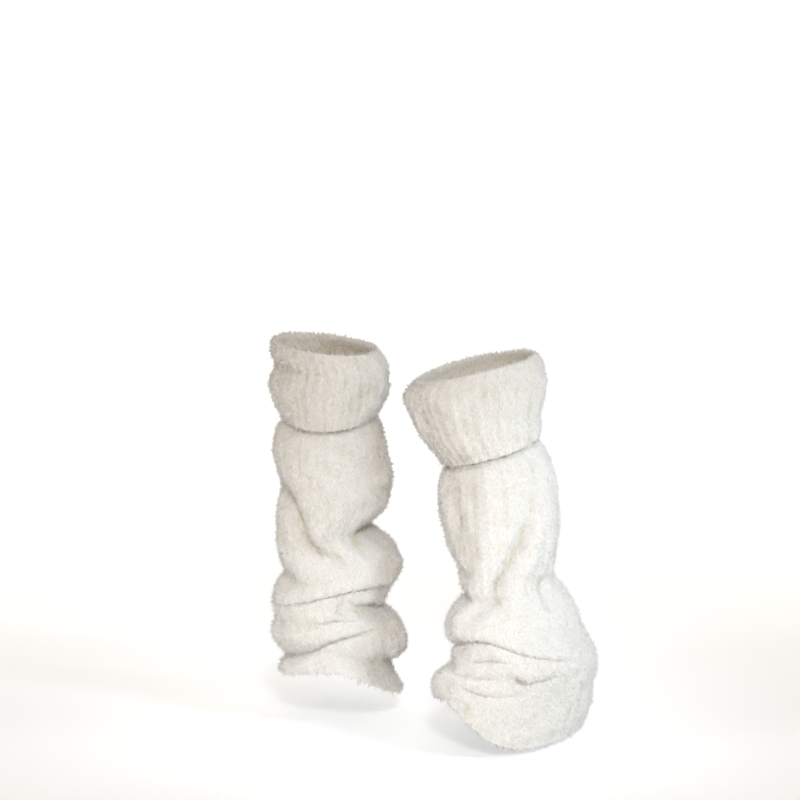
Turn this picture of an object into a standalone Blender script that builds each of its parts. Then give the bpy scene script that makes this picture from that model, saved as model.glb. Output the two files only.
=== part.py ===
"""A pair of ribbed plush leg warmers, in the shape they take when worn.

Each one is a knitted tube. Its top is turned down outside as a deep cuff, and its lower end is
pushed down into slouched folds round the ankle. The cloth is one thick wall: plain inside, with the
ribs raised outside. Metres, +Z up. The origin is in the mouth of the right leg warmer, where the
calf holds it. Front is -Y, and right and left are the wearer's, so the right one lies towards -X.
"""

import math
from collections import namedtuple

import bpy
import numpy as np

MM = 0.001

# The cloth, in millimetres.
WALL = 4.0            # knitted ground and pile together
RIB_COUNT = 36        # ribs round each tube
RIB_HEIGHT = 1.6      # from the bottom of a groove to the crest of a rib
ROLL_RADIUS = 4.0     # middle of the cloth, where it turns over at the top
SEAM_DROP = 7.0       # how far the cuff reaches down inside the mouth
SEAM_GAP = 0.3        # between the end of the tube and the end of the cuff

# How finely the cloth is modelled.
ROLL_TURNS = 3        # steps over the top of the fold
SLOUCH_RINGS = 18     # rings from the start of the slouch down to the hem
PATH_STEPS = 12       # steps between two points of a fold's path
FOLD_FADE = 0.2       # share of a sharp fold, at each end, over which it dies out

# A section is where a level ring of the cloth meets the left, right, front and back, each with its
# own height, in millimetres. Left is -X here. Skew turns a long section: it moves the front by that
# much towards +X and the back towards -X.
Section = namedtuple("Section", "name left z_left right z_right front z_front back z_back skew")

# A fold is a crease, or with a negative depth a ridge. Its path is (angle, height) points, where the
# angle is 0 at the front and 90 degrees at +X. Width is how far its sides reach. Edge is 1 for a
# sharp crease and 2 for a soft trough.
Fold = namedtuple("Fold", "name path depth width edge")

# The hem rides up over the instep: so much, centred on this angle, over this spread in degrees.
Instep = namedtuple("Instep", "rise angle spread")

RIGHT_CUFF = (
    Section("fold",       -76,   2,  63, -13, -69,  -6,  69,  -5, 0),
    Section("under fold", -77, -12,  69, -22, -71, -16,  71, -15, 0),
    Section("dent",       -71, -26,  73, -36, -71, -30,  72, -29, 0),
    Section("belly",      -79, -51,  74, -56, -70, -53,  72, -52, 0),
    Section("low belly",  -73, -74,  68, -74, -68, -77,  70, -74, 0),
    Section("edge",       -64, -93,  59, -89, -64, -101, 64, -95, 0),
)

RIGHT_LEG = (
    Section("under cuff", -61,  -38, 56,  -44, -60,  -42,  60,  -41, 0),
    Section("cuff edge",  -57,  -93, 52,  -89, -57, -101,  57,  -95, 0),
    Section("below cuff", -65, -103, 60,  -99, -61, -109,  60, -104, 0),
    Section("calf top",   -72, -115, 67, -118, -67, -122,  66, -117, 0),
    Section("calf",       -75, -135, 73, -147, -72, -143,  71, -141, 0),
    Section("calf belly", -72, -158, 78, -172, -74, -166,  74, -165, 0),
    Section("shin",       -67, -182, 75, -194, -73, -190,  76, -188, 0),
    Section("waist",      -69, -207, 69, -213, -71, -211,  77, -210, 0),
    Section("over notch", -71, -224, 57, -226, -70, -227,  77, -226, 0),
    Section("notch",      -71, -238, 50, -236, -69, -240,  76, -240, 0),
    Section("bulge top",  -71, -253, 60, -249, -70, -253,  77, -253, 0),
    Section("bulge up",   -69, -267, 78, -263, -73, -267,  79, -267, 0),
    Section("bulge",      -65, -285, 89, -284, -76, -283,  80, -285, 0),
    Section("bulge low",  -61, -303, 86, -304, -79, -299,  80, -303, 0),
    Section("slouch 1",   -71, -316, 76, -318, -80, -310,  80, -318, 0),
    Section("slouch 2",   -77, -332, 69, -331, -81, -323,  82, -332, 0),
    Section("slouch 3",   -76, -349, 63, -345, -82, -337,  84, -347, 0),
    Section("slouch 4",   -73, -360, 76, -356, -83, -348,  85, -359, 0),
    Section("slouch 5",   -77, -371, 89, -371, -84, -358,  86, -370, 0),
    Section("slouch 6",   -79, -382, 96, -389, -85, -369,  88, -383, 0),
    Section("slouch 7",   -71, -395, 92, -405, -84, -381,  90, -397, 0),
    Section("ankle",      -57, -411, 78, -415, -82, -395,  91, -410, 0),
    Section("hem top",    -62, -418, 73, -423, -82, -406,  94, -421, 0),
    Section("hem band",   -68, -427, 80, -440, -84, -418, 100, -436, 0),
    Section("hem",        -69, -436, 91, -462, -86, -432, 106, -452, 0),
)

LEFT_CUFF = (
    Section("fold",       106,  -46, 264,  -11,  -98,  -24, 28,  -26, 0),
    Section("flare",       95,  -55, 269,  -20, -100,  -35, 27,  -36, 0),
    Section("corner",      93,  -67, 273,  -40, -103,  -52, 25,  -52, 0),
    Section("belly",      101,  -84, 270,  -58, -107,  -70, 22,  -69, 0),
    Section("low belly",  113, -108, 266,  -80, -113,  -93, 15,  -92, 0),
    Section("lower",      127, -125, 265,  -94, -116, -109,  8, -108, 0),
    Section("edge",       141, -141, 263, -107, -118, -124,  1, -122, 0),
)

LEFT_LEG = (
    Section("under cuff", 133,  -88, 256,  -58, -100,  -74,  10,  -73,   0),
    Section("cuff edge",  148, -141, 256, -107, -111, -124,  -6, -122,   0),
    Section("below cuff", 142, -153, 265, -116, -120, -134,   0, -133,   0),
    Section("calf top",   138, -165, 275, -131, -126, -148,   2, -147,   0),
    Section("calf",       136, -183, 284, -160, -133, -172,   3, -171,   0),
    Section("calf belly", 138, -202, 288, -190, -139, -197,   2, -197,  -2),
    Section("shin",       143, -225, 289, -220, -145, -222,  -1, -222,  -4),
    Section("waist",      152, -249, 286, -248, -150, -248,  -5, -248,  -6),
    Section("waist low",  161, -268, 282, -272, -155, -268,  -9, -270, -10),
    Section("waist end",  163, -278, 282, -281, -157, -277, -10, -279, -12),
    Section("over notch", 166, -289, 284, -291, -160, -288, -11, -290, -14),
    Section("notch",      174, -301, 293, -302, -165, -300, -11, -302, -17),
    Section("roll top",   161, -312, 303, -313, -171, -311,  -9, -315, -20),
    Section("roll",       147, -331, 312, -330, -178, -326,  -6, -331, -22),
    Section("roll low",   147, -349, 318, -347, -184, -338,  -2, -348, -24),
    Section("slouch 1",   158, -364, 326, -365, -188, -349,   2, -366, -26),
    Section("slouch 2",   156, -377, 336, -381, -190, -362,   5, -382, -28),
    Section("slouch 3",   154, -391, 340, -396, -191, -378,   7, -398, -30),
    Section("ankle",      146, -401, 338, -412, -192, -396,   8, -413, -32),
    Section("hem top",    132, -411, 335, -430, -194, -416,  10, -431, -34),
    Section("hem band",   128, -424, 333, -456, -196, -446,  12, -454, -36),
    Section("hem",        132, -437, 324, -483, -197, -473,  12, -479, -38),
)

RIGHT_CUFF_FOLDS = (
    Fold("corner ridge",  ((60, -10), (61, -40), (58, -80)),            -4, 10, 2),
    Fold("front hollow",  ((36, 0), (38, -45), (36, -88)),              3, 14, 2),
    Fold("left hollow",   ((-52, 4), (-58, -30), (-50, -60)),            2, 10, 2),
    Fold("heel hollow",   ((150, 0), (158, -40), (150, -80)),            3, 13, 2),
    Fold("heel ridge",    ((205, -5), (200, -50), (208, -90)),          -3, 12, 2),
)

RIGHT_LEG_FOLDS = (
    Fold("shin trough",   ((-98, -178), (-66, -192), (-34, -228), (-16, -258), (10, -272)), 17, 13, 2),
    Fold("shin swell",    ((-78, -258), (-46, -280), (-12, -294)),      -6, 14, 2),
    Fold("shin ridge",    ((-52, -150), (-22, -206), (2, -246)),        -4, 14, 2),
    Fold("bulge trough",  ((104, -237), (64, -240), (46, -248), (30, -266)), 12, 11, 2),
    Fold("calf hollow",   ((42, -118), (48, -160), (40, -205)),          4, 14, 2),
    Fold("crease 1",      ((-82, -341), (-29, -325), (0, -313), (30, -306), (80, -309)), 13, 6.5, 1.3),
    Fold("roll 1",        ((-60, -362), (-20, -346), (14, -329)),       -4, 10, 2),
    Fold("crease 2",      ((26, -327), (53, -331), (84, -345)),         11, 6, 1.3),
    Fold("crease 3",      ((-14, -350), (6, -344), (24, -347)),          9, 5, 1.3),
    Fold("roll 2",        ((-56, -384), (-16, -364), (26, -354)),       -4, 9, 2),
    Fold("crease 4",      ((-95, -412), (-38, -391), (-8, -373), (12, -365), (42, -360)), 12, 8, 1.5),
    Fold("side roll",     ((66, -348), (76, -372), (68, -394)),         -4, 9, 2),
    Fold("ankle tuck",    ((48, -392), (66, -408), (110, -417)),        11, 7, 1.3),
    Fold("back crease 1", ((98, -333), (165, -320), (215, -326), (262, -338)), 13, 7, 1.3),
    Fold("back crease 2", ((118, -356), (160, -364), (205, -358)),      11, 6, 1.3),
    Fold("back roll",     ((140, -380), (200, -374), (250, -384)),      -4, 9, 2),
    Fold("back crease 3", ((125, -396), (180, -388), (236, -400), (268, -411)), 13, 7, 1.3),
    Fold("back crease 4", ((160, -424), (190, -420), (222, -426)),       8, 6, 1.3),
    Fold("back trough",   ((128, -196), (166, -240), (196, -278)),      15, 13, 2),
    Fold("back swell",    ((205, -210), (222, -250), (214, -292)),      -4, 14, 2),
    Fold("calf groove",   ((214, -112), (220, -150), (216, -196)),       4, 12, 2),
)

LEFT_CUFF_FOLDS = (
    Fold("front ridge",   ((-28, -22), (-24, -70), (-18, -126)),        -3, 14, 2),
    Fold("left hollow",   ((-62, -34), (-58, -75), (-50, -116)),         3, 14, 2),
    Fold("right hollow",  ((52, -14), (56, -52), (54, -96)),            3, 12, 2),
    Fold("heel hollow",   ((148, -12), (154, -58), (150, -104)),         3, 13, 2),
    Fold("heel ridge",    ((205, -28), (208, -70), (203, -124)),        -3, 13, 2),
)

LEFT_LEG_FOLDS = (
    Fold("shin ridge",    ((-16, -126), (-13, -173), (-20, -247), (-46, -300), (-44, -340)), -5, 13, 2),
    Fold("side hollow",   ((-50, -150), (-50, -200), (-58, -250)),       5, 16, 2),
    Fold("shin groove",   ((54, -116), (40, -160), (36, -194)),          4, 8, 2),
    Fold("shin trough",   ((38, -186), (22, -226), (4, -262), (-12, -296), (-34, -322)), 12, 11, 2),
    Fold("shin swell",    ((46, -225), (26, -268), (6, -312)),          -5, 12, 2),
    Fold("flare hollow",  ((70, -278), (60, -294), (50, -316)),          8, 11, 2),
    Fold("crease 1",      ((-94, -368), (-56, -352), (-34, -345), (-12, -343), (22, -361), (60, -379)),
         13, 6.5, 1.3),
    Fold("roll 1",        ((-70, -372), (-40, -366), (-26, -358)),      -3, 8, 2),
    Fold("crease 2",      ((-92, -394), (-58, -380), (-34, -386), (0, -388)), 12, 6.5, 1.3),
    Fold("crease 3",      ((-28, -369), (-10, -365), (2, -367)),         7, 5, 1.3),
    Fold("roll 2",        ((-8, -377), (24, -376), (50, -386)),         -4, 9, 2),
    Fold("crease 4",      ((10, -384), (21, -395), (44, -391)),         11, 6, 1.3),
    Fold("crease 5",      ((-24, -398), (-4, -408), (24, -410)),         7, 5, 1.3),
    Fold("heel trough",   ((140, -196), (168, -240), (206, -286)),      14, 14, 2),
    Fold("heel swell",    ((206, -200), (216, -240), (240, -280)),      -5, 14, 2),
    Fold("back crease 1", ((96, -352), (150, -340), (205, -346), (262, -364)), 13, 7, 1.3),
    Fold("back roll",     ((120, -364), (180, -358), (220, -364)),      -4, 9, 2),
    Fold("back crease 2", ((110, -384), (160, -376), (204, -384)),      11, 6, 1.3),
    Fold("back crease 3", ((150, -412), (200, -402), (256, -396)),      12, 6.5, 1.3),
    Fold("back crease 4", ((98, -424), (132, -432), (170, -428)),        9, 6, 1.3),
    Fold("back crease 5", ((196, -436), (220, -430), (246, -434)),       7, 6, 1.3),
)

RIGHT_INSTEP = Instep(18, -5, 45)
LEFT_INSTEP = Instep(34, -33, 36)
SLOUCH_START = {"right": "bulge", "left": "over notch"}


def clear_scene():
    for old in list(bpy.data.objects):
        bpy.data.objects.remove(old, do_unlink=True)


def smooth_curve(points, places):
    """Reads a smooth curve through the points at places, where 1.5 is half way from point 1 to 2."""
    points = np.asarray(points, float)
    last = len(points) - 1
    read = []
    for place in places:
        start = min(int(place), last - 1)
        t = place - start
        before, here = points[max(start - 1, 0)], points[start]
        there, after = points[start + 1], points[min(start + 2, last)]
        read.append(0.5 * (2 * here + (there - before) * t
                           + (2 * before - 5 * here + 4 * there - after) * t ** 2
                           + (3 * here - before - 3 * there + after) * t ** 3))
    return np.array(read)


def section_points(rows, angles, inset, lift):
    """Points on the rings of these sections. Inset moves a point inwards, and lift moves it up."""
    left, z_left, right, z_right, front, z_front, back, z_back, skew = rows.T[:, :, None]
    half_width = np.sqrt(((right - left) / 2 - inset) ** 2 - skew ** 2)
    half_depth = (back - front) / 2 - inset
    x = (left + right) / 2 + half_width * np.sin(angles) + skew * np.cos(angles)
    y = (front + back) / 2 - half_depth * np.cos(angles)
    z = ((z_left + z_right + z_front + z_back) / 4
         + (z_front + z_back - z_left - z_right) / 4 * np.cos(2 * angles)
         + (z_right - z_left) / 2 * np.sin(angles)
         + (z_front - z_back) / 2 * np.cos(angles) + lift)
    return np.stack([x, y, z], axis=-1)


def fold_depth(folds, angles, points):
    """How far the folds push the cloth in at each point, measured on the unrolled tube."""
    heights = points[:, :, 2]
    girth_radius = np.ptp(points[:, :, 0], axis=1).mean() / 2
    pushed = np.zeros_like(heights)
    for fold in folds:
        steps = np.linspace(0, len(fold.path) - 1, PATH_STEPS * (len(fold.path) - 1) + 1)
        path = smooth_curve(fold.path, steps)
        turn = np.degrees(angles)[None, :, None] - path[:, 0]
        turn = (turn + 180) % 360 - 180
        across = np.radians(turn) * girth_radius
        gap = np.hypot(across, heights[:, :, None] - path[:, 1])
        nearest = gap.argmin(axis=2)
        along = nearest / (len(path) - 1)
        fade = np.clip(np.minimum(along, 1 - along) / (FOLD_FADE * fold.edge), 0, 1)
        fade = fade * (2 - fade)
        pushed += fold.depth * fade * np.exp(-(gap.min(axis=2) / fold.width) ** fold.edge)
    return pushed


def rib_relief(angles):
    """How far the ribs raise the cloth: crests stand out by half their height, and grooves lie in."""
    return RIB_HEIGHT / 2 * np.cos(RIB_COUNT * angles)


def instep_lift(instep, angles, share):
    """The hem's rise over the instep. Share is 0 where the slouch starts and 1 at the hem."""
    turn = (np.degrees(angles) - instep.angle + 180) % 360 - 180
    return instep.rise * share[:, None] ** 2 * np.exp(-(turn / instep.spread) ** 2)


def closed_wall(name, outer, inner, colour):
    """One closed body from rings of an outer skin, and rings of an inner one with half the columns."""
    rings, columns = outer.shape[:2]
    inside = inner.shape[1]
    first_inner = rings * columns

    def out_index(ring, column):
        return ring * columns + column % columns

    def in_index(ring, column):
        return first_inner + ring * inside + column % inside

    faces = []
    for ring in range(rings - 1):
        for column in range(columns):
            faces.append((out_index(ring, column), out_index(ring + 1, column),
                          out_index(ring + 1, column + 1), out_index(ring, column + 1)))
        for column in range(inside):
            faces.append((in_index(ring, column), in_index(ring, column + 1),
                          in_index(ring + 1, column + 1), in_index(ring + 1, column)))
    for ring, turned in ((0, False), (rings - 1, True)):
        for column in range(inside):
            crest, groove, next_crest = 2 * column, 2 * column + 1, 2 * column + 2
            rim = ((out_index(ring, crest), out_index(ring, groove), in_index(ring, column)),
                   (out_index(ring, groove), in_index(ring, column + 1), in_index(ring, column)),
                   (out_index(ring, groove), out_index(ring, next_crest), in_index(ring, column + 1)))
            faces.extend(face[::-1] if turned else face for face in rim)

    mesh = bpy.data.meshes.new(name)
    points = np.concatenate([outer.reshape(-1, 3), inner.reshape(-1, 3)]) * MM
    mesh.from_pydata(points.tolist(), [], faces)
    mesh.update()
    mesh.shade_smooth()
    mesh.materials.append(plush(name, colour))
    body = bpy.data.objects.new(name, mesh)
    bpy.context.scene.collection.objects.link(body)
    return body


def plush(name, colour):
    material = bpy.data.materials.new(name + "_plush")
    material.use_nodes = True
    shader = material.node_tree.nodes["Principled BSDF"]
    shader.inputs["Base Color"].default_value = (*colour, 1)
    shader.inputs["Roughness"].default_value = 0.95
    shader.inputs["Metallic"].default_value = 0
    return material


def column_angles(columns):
    return np.arange(columns) * math.tau / columns


def seam_section(fold):
    """The top of the tube, inside the mouth and just below the end of the turned-over cloth."""
    inset = 2 * ROLL_RADIUS
    drop = SEAM_DROP + SEAM_GAP
    return Section("top edge", fold.left + inset, fold.z_left - drop, fold.right - inset,
                   fold.z_right - drop, fold.front + inset, fold.z_front - drop,
                   fold.back - inset, fold.z_back - drop, fold.skew)


def leg_wall(name, cuff_sections, sections, folds, instep, slouch_start, colour):
    """The tube from the mouth down to the hem."""
    sections = (seam_section(cuff_sections[0]),) + sections
    start = [section.name for section in sections].index(slouch_start)
    last = len(sections) - 1
    places = np.concatenate([np.arange(start), np.linspace(start, last, SLOUCH_RINGS + 1)])
    rows = smooth_curve([section[1:] for section in sections], places)
    share = np.clip((places - start) / (last - start), 0, 1)
    ribbed = np.minimum(places, 1)[:, None]

    def skin(columns, wall, relief_share):
        angles = column_angles(columns)
        lift = instep_lift(instep, angles, share)
        pushed = fold_depth(folds, angles, section_points(rows, angles, 0, lift))
        relief = relief_share * ribbed * rib_relief(angles)
        return section_points(rows, angles, wall + pushed - relief, lift)

    outer, inner = skin(2 * RIB_COUNT, 0, 1), skin(RIB_COUNT, WALL, 0)
    return closed_wall(name, outer, inner, colour)


def cuff_wall(name, sections, folds, colour):
    """The turned-down band: up inside the mouth, over the roll and down outside to its edge."""
    table = np.array([section[1:] for section in sections], float)
    over = np.linspace(math.pi, 0, ROLL_TURNS + 1)
    turn = np.concatenate([[math.pi], over, np.zeros(len(table) - 1)])[:, None]
    rows = np.concatenate([np.repeat(table[:1], len(over) + 1, axis=0), table[1:]])
    drop = np.zeros_like(turn)
    drop[0] = SEAM_DROP
    settled = np.clip(np.arange(len(rows)) / len(over), 0, 1)[:, None]
    outer_radius = ROLL_RADIUS + WALL / 2

    def skin(columns, wall, relief_share):
        angles = column_angles(columns)
        relief = relief_share * settled * rib_relief(angles)
        reach = outer_radius - wall + relief
        inset = outer_radius - reach * np.cos(turn)
        lift = reach * np.sin(turn) - drop
        pushed = settled * fold_depth(folds, angles, section_points(rows, angles, inset, lift))
        return section_points(rows, angles, inset + pushed, lift)

    outer, inner = skin(2 * RIB_COUNT, 0, 1), skin(RIB_COUNT, WALL, 0)
    return closed_wall(name, outer, inner, colour)


def main():
    clear_scene()
    cream = (0.83, 0.80, 0.74)
    shaded_cream = (0.76, 0.72, 0.65)
    leg_wall("right_leg", RIGHT_CUFF, RIGHT_LEG, RIGHT_LEG_FOLDS, RIGHT_INSTEP,
             SLOUCH_START["right"], shaded_cream)
    cuff_wall("right_cuff", RIGHT_CUFF, RIGHT_CUFF_FOLDS, cream)
    leg_wall("left_leg", LEFT_CUFF, LEFT_LEG, LEFT_LEG_FOLDS, LEFT_INSTEP,
             SLOUCH_START["left"], shaded_cream)
    cuff_wall("left_cuff", LEFT_CUFF, LEFT_CUFF_FOLDS, cream)


main()
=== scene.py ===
# %% [markdown]
# # A pair of ribbed plush leg warmers
# Two tubes of thick cream plush knit, in the shape they take when worn. The top of each is turned
# down outside as a deep cuff, and the lower end is pushed down into slouched folds. The packed
# solids give the size and the main form. This script dresses them: each solid gets a thin knitted
# wall with sharper creases, and a pile that stands out from it.

# %% Load the frame
import math
from collections import namedtuple

import bpy
import numpy as np
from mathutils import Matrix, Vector


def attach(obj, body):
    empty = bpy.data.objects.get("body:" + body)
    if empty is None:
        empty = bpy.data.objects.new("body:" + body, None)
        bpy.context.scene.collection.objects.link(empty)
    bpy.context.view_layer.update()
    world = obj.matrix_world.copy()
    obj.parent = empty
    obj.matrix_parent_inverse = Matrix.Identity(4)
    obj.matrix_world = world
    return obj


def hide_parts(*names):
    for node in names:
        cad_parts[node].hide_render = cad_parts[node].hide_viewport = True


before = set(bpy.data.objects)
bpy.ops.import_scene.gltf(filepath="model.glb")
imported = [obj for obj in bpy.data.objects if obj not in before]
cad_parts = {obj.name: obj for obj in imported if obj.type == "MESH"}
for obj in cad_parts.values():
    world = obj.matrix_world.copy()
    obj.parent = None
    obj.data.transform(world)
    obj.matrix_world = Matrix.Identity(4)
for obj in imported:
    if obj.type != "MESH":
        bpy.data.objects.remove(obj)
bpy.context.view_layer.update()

MM = 0.001
FLOOR_HEIGHT = -0.491      # metres, just under the lowest point of the left hem

# %% [markdown]
# ## Camera
# A long lens, about three and a half metres away and a little above the cloth, looks down at twelve
# degrees. A wide lens close by would show the same pair, but it would make the near hem look larger.
# The camera comes first, because every later choice is judged through it.

# %% Camera
CAMERA_PLACE = (0.0879, -3.505, 0.6708)
CAMERA_PITCH = 78        # degrees from straight down
LENS = 126

camera_data = bpy.data.cameras.new("camera")
camera_data.lens = LENS
camera_data.clip_end = 100
camera = bpy.data.objects.new("camera", camera_data)
camera.location = CAMERA_PLACE
camera.rotation_euler = (math.radians(CAMERA_PITCH), 0, 0)
bpy.context.scene.collection.objects.link(camera)
bpy.context.scene.camera = camera
print("camera at", CAMERA_PLACE, "with a lens of", LENS, "mm")

# %% [markdown]
# ## The form, as tables
# A knitted tube has no straight edges to measure, so its form is a stack of level rings. Each row
# says where a ring meets the left, right, front and back, in millimetres, each with its own height.
# Folds are drawn on the unrolled tube as paths of angle and height. The rows repeat the part's own
# values, so the cloth lies where its solid lies. Sculpting by hand would look as good, but it could
# not be changed by a number.

# %% Measures of the cloth
WALL = 4.0             # the whole cloth, with its pile
RIB_COUNT = 36
RIB_HEIGHT = 1.6
ROLL_RADIUS = 4.0      # of the turn at the top, to the middle of the wall
SEAM_DROP = 7.0        # how far the cuff runs on down inside the mouth

Section = namedtuple("Section", "name left z_left right z_right front z_front back z_back skew")
Fold = namedtuple("Fold", "name path depth width edge")
Instep = namedtuple("Instep", "rise angle spread")

# %% Rings of the right leg warmer
RIGHT_CUFF = (
    Section("fold",       -76,   2,  63, -13, -69,  -6,  69,  -5, 0),
    Section("under fold", -77, -12,  69, -22, -71, -16,  71, -15, 0),
    Section("dent",       -71, -26,  73, -36, -71, -30,  72, -29, 0),
    Section("belly",      -79, -51,  74, -56, -70, -53,  72, -52, 0),
    Section("low belly",  -73, -74,  68, -74, -68, -77,  70, -74, 0),
    Section("edge",       -64, -93,  59, -89, -64, -101, 64, -95, 0),
)

RIGHT_LEG = (
    Section("under cuff", -61,  -38, 56,  -44, -60,  -42,  60,  -41, 0),
    Section("cuff edge",  -57,  -93, 52,  -89, -57, -101,  57,  -95, 0),
    Section("below cuff", -65, -103, 60,  -99, -61, -109,  60, -104, 0),
    Section("calf top",   -72, -115, 67, -118, -67, -122,  66, -117, 0),
    Section("calf",       -75, -135, 73, -147, -72, -143,  71, -141, 0),
    Section("calf belly", -72, -158, 78, -172, -74, -166,  74, -165, 0),
    Section("shin",       -67, -182, 75, -194, -73, -190,  76, -188, 0),
    Section("waist",      -69, -207, 69, -213, -71, -211,  77, -210, 0),
    Section("over notch", -71, -224, 57, -226, -70, -227,  77, -226, 0),
    Section("notch",      -71, -238, 50, -236, -69, -240,  76, -240, 0),
    Section("bulge top",  -71, -253, 60, -249, -70, -253,  77, -253, 0),
    Section("bulge up",   -69, -267, 78, -263, -73, -267,  79, -267, 0),
    Section("bulge",      -65, -285, 89, -284, -76, -283,  80, -285, 0),
    Section("bulge low",  -61, -303, 86, -304, -79, -299,  80, -303, 0),
    Section("slouch 1",   -71, -316, 76, -318, -80, -310,  80, -318, 0),
    Section("slouch 2",   -77, -332, 69, -331, -81, -323,  82, -332, 0),
    Section("slouch 3",   -76, -349, 63, -345, -82, -337,  84, -347, 0),
    Section("slouch 4",   -73, -360, 76, -356, -83, -348,  85, -359, 0),
    Section("slouch 5",   -77, -371, 89, -371, -84, -358,  86, -370, 0),
    Section("slouch 6",   -79, -382, 96, -389, -85, -369,  88, -383, 0),
    Section("slouch 7",   -71, -395, 92, -405, -84, -381,  90, -397, 0),
    Section("ankle",      -57, -411, 78, -415, -82, -395,  91, -410, 0),
    Section("hem top",    -62, -418, 73, -423, -82, -406,  94, -421, 0),
    Section("hem band",   -68, -427, 80, -440, -84, -418, 100, -436, 0),
    Section("hem",        -69, -436, 91, -462, -86, -432, 106, -452, 0),
)

# %% Rings of the left leg warmer
LEFT_CUFF = (
    Section("fold",       106,  -46, 264,  -11,  -98,  -24, 28,  -26, 0),
    Section("flare",       95,  -55, 269,  -20, -100,  -35, 27,  -36, 0),
    Section("corner",      93,  -67, 273,  -40, -103,  -52, 25,  -52, 0),
    Section("belly",      101,  -84, 270,  -58, -107,  -70, 22,  -69, 0),
    Section("low belly",  113, -108, 266,  -80, -113,  -93, 15,  -92, 0),
    Section("lower",      127, -125, 265,  -94, -116, -109,  8, -108, 0),
    Section("edge",       141, -141, 263, -107, -118, -124,  1, -122, 0),
)

LEFT_LEG = (
    Section("under cuff", 133,  -88, 256,  -58, -100,  -74,  10,  -73,   0),
    Section("cuff edge",  148, -141, 256, -107, -111, -124,  -6, -122,   0),
    Section("below cuff", 142, -153, 265, -116, -120, -134,   0, -133,   0),
    Section("calf top",   138, -165, 275, -131, -126, -148,   2, -147,   0),
    Section("calf",       136, -183, 284, -160, -133, -172,   3, -171,   0),
    Section("calf belly", 138, -202, 288, -190, -139, -197,   2, -197,  -2),
    Section("shin",       143, -225, 289, -220, -145, -222,  -1, -222,  -4),
    Section("waist",      152, -249, 286, -248, -150, -248,  -5, -248,  -6),
    Section("waist low",  161, -268, 282, -272, -155, -268,  -9, -270, -10),
    Section("waist end",  163, -278, 282, -281, -157, -277, -10, -279, -12),
    Section("over notch", 166, -289, 284, -291, -160, -288, -11, -290, -14),
    Section("notch",      174, -301, 293, -302, -165, -300, -11, -302, -17),
    Section("roll top",   161, -312, 303, -313, -171, -311,  -9, -315, -20),
    Section("roll",       147, -331, 312, -330, -178, -326,  -6, -331, -22),
    Section("roll low",   147, -349, 318, -347, -184, -338,  -2, -348, -24),
    Section("slouch 1",   158, -364, 326, -365, -188, -349,   2, -366, -26),
    Section("slouch 2",   156, -377, 336, -381, -190, -362,   5, -382, -28),
    Section("slouch 3",   154, -391, 340, -396, -191, -378,   7, -398, -30),
    Section("ankle",      146, -401, 338, -412, -192, -396,   8, -413, -32),
    Section("hem top",    132, -411, 335, -430, -194, -416,  10, -431, -34),
    Section("hem band",   128, -424, 333, -456, -196, -446,  12, -454, -36),
    Section("hem",        132, -437, 324, -483, -197, -473,  12, -479, -38),
)

RIGHT_INSTEP = Instep(18, -5, 45)
LEFT_INSTEP = Instep(34, -33, 36)

# %% Folds of the right leg warmer
RIGHT_CUFF_FOLDS = (
    Fold("corner ridge",  ((60, -10), (61, -40), (58, -80)),            -4, 10, 2),
    Fold("front hollow",  ((36, 0), (38, -45), (36, -88)),              3, 14, 2),
    Fold("left hollow",   ((-52, 4), (-58, -30), (-50, -60)),            2, 10, 2),
    Fold("heel hollow",   ((150, 0), (158, -40), (150, -80)),            3, 13, 2),
    Fold("heel ridge",    ((205, -5), (200, -50), (208, -90)),          -3, 12, 2),
)

RIGHT_LEG_FOLDS = (
    Fold("shin trough",   ((-98, -178), (-66, -192), (-34, -228), (-16, -258), (10, -272)), 17, 13, 2),
    Fold("shin swell",    ((-78, -258), (-46, -280), (-12, -294)),      -6, 14, 2),
    Fold("shin ridge",    ((-52, -150), (-22, -206), (2, -246)),        -4, 14, 2),
    Fold("bulge trough",  ((104, -237), (64, -240), (46, -248), (30, -266)), 12, 11, 2),
    Fold("calf hollow",   ((42, -118), (48, -160), (40, -205)),          4, 14, 2),
    Fold("crease 1",      ((-82, -341), (-29, -325), (0, -313), (30, -306), (80, -309)), 13, 6.5, 1.3),
    Fold("roll 1",        ((-60, -362), (-20, -346), (14, -329)),       -4, 10, 2),
    Fold("crease 2",      ((26, -327), (53, -331), (84, -345)),         11, 6, 1.3),
    Fold("crease 3",      ((-14, -350), (6, -344), (24, -347)),          9, 5, 1.3),
    Fold("roll 2",        ((-56, -384), (-16, -364), (26, -354)),       -4, 9, 2),
    Fold("crease 4",      ((-95, -412), (-38, -391), (-8, -373), (12, -365), (42, -360)), 12, 8, 1.5),
    Fold("side roll",     ((66, -348), (76, -372), (68, -394)),         -4, 9, 2),
    Fold("ankle tuck",    ((48, -392), (66, -408), (110, -417)),        11, 7, 1.3),
    Fold("back crease 1", ((98, -333), (165, -320), (215, -326), (262, -338)), 13, 7, 1.3),
    Fold("back crease 2", ((118, -356), (160, -364), (205, -358)),      11, 6, 1.3),
    Fold("back roll",     ((140, -380), (200, -374), (250, -384)),      -4, 9, 2),
    Fold("back crease 3", ((125, -396), (180, -388), (236, -400), (268, -411)), 13, 7, 1.3),
    Fold("back crease 4", ((160, -424), (190, -420), (222, -426)),       8, 6, 1.3),
    Fold("back trough",   ((128, -196), (166, -240), (196, -278)),      15, 13, 2),
    Fold("back swell",    ((205, -210), (222, -250), (214, -292)),      -4, 14, 2),
    Fold("calf groove",   ((214, -112), (220, -150), (216, -196)),       4, 12, 2),
)

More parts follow.
